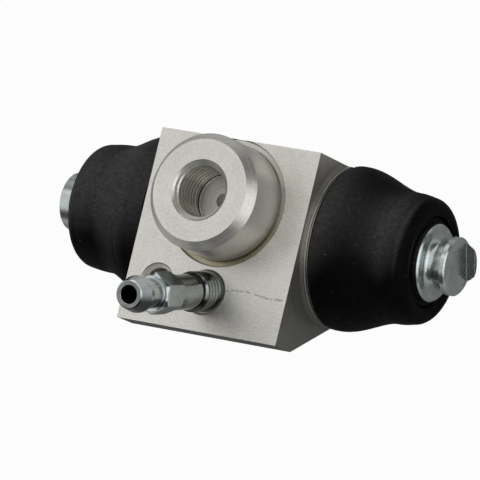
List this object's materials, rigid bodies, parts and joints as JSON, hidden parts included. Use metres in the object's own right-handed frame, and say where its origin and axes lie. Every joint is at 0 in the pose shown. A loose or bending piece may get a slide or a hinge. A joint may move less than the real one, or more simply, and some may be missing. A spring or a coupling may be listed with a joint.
{
  "type": "wheel cylinder",
  "caption": "Drum brake wheel cylinder: aluminium block with opposed pistons under rubber boots, a spigot with an inlet port and a leaning bleed screw.",
  "frame": {"origin": "centre of the spigot where it meets the mounting face", "axes": "+Z out of the mounting face along the spigot, +X along the bore, -Y towards the bleed screw"},
  "size_m": [0.0802, 0.036, 0.0552],
  "materials": {
    "aluminium": "satin machined aluminium",
    "zinc_plate": "bright zinc plate on steel",
    "boot_rubber": "soft black rubber with a low sheen",
    "seal_rubber": "smooth black seal rubber",
    "spring_steel": "drawn steel"
  },
  "bodies": {
    "housing": {"cylinder_body": "aluminium", "left_boot": "boot_rubber", "right_boot": "boot_rubber", "return_spring": "spring_steel"},
    "left_seal_pack": {"left_cup_seal": "seal_rubber", "left_cup_expander": "spring_steel"},
    "left_piston": {"left_piston": "zinc_plate"},
    "right_seal_pack": {"right_cup_seal": "seal_rubber", "right_cup_expander": "spring_steel"},
    "right_piston": {"right_piston": "zinc_plate"},
    "bleed_screw": {"bleed_screw": "zinc_plate"}
  },
  "joints": [
    {"name": "left_piston_slide", "type": "slide", "parent": "housing", "child": "left_seal_pack", "axis": [-1, 0, 0], "range_m": [-0.0042, 0.0038], "stiffness_N_per_m": 800, "deforming": ["left_boot", "return_spring"]},
    {"name": "left_piston_turn", "type": "hinge", "parent": "left_seal_pack", "child": "left_piston", "pos_m": [0, -0.0021, -0.0158], "axis": [-1, 0, 0], "continuous": true},
    {"name": "right_piston_slide", "type": "slide", "parent": "housing", "child": "right_seal_pack", "axis": [1, 0, 0], "range_m": [-0.003, 0.005], "stiffness_N_per_m": 800, "deforming": ["right_boot", "return_spring"]},
    {"name": "right_piston_turn", "type": "hinge", "parent": "right_seal_pack", "child": "right_piston", "pos_m": [0, -0.0021, -0.0158], "axis": [1, 0, 0], "continuous": true},
    {"name": "bleed_screw_turn", "type": "hinge", "parent": "housing", "child": "bleed_screw", "pos_m": [0, -0.0156, 0], "axis": [0, -0.225, 0.9744], "range_deg": [0, 270]}
  ]
}
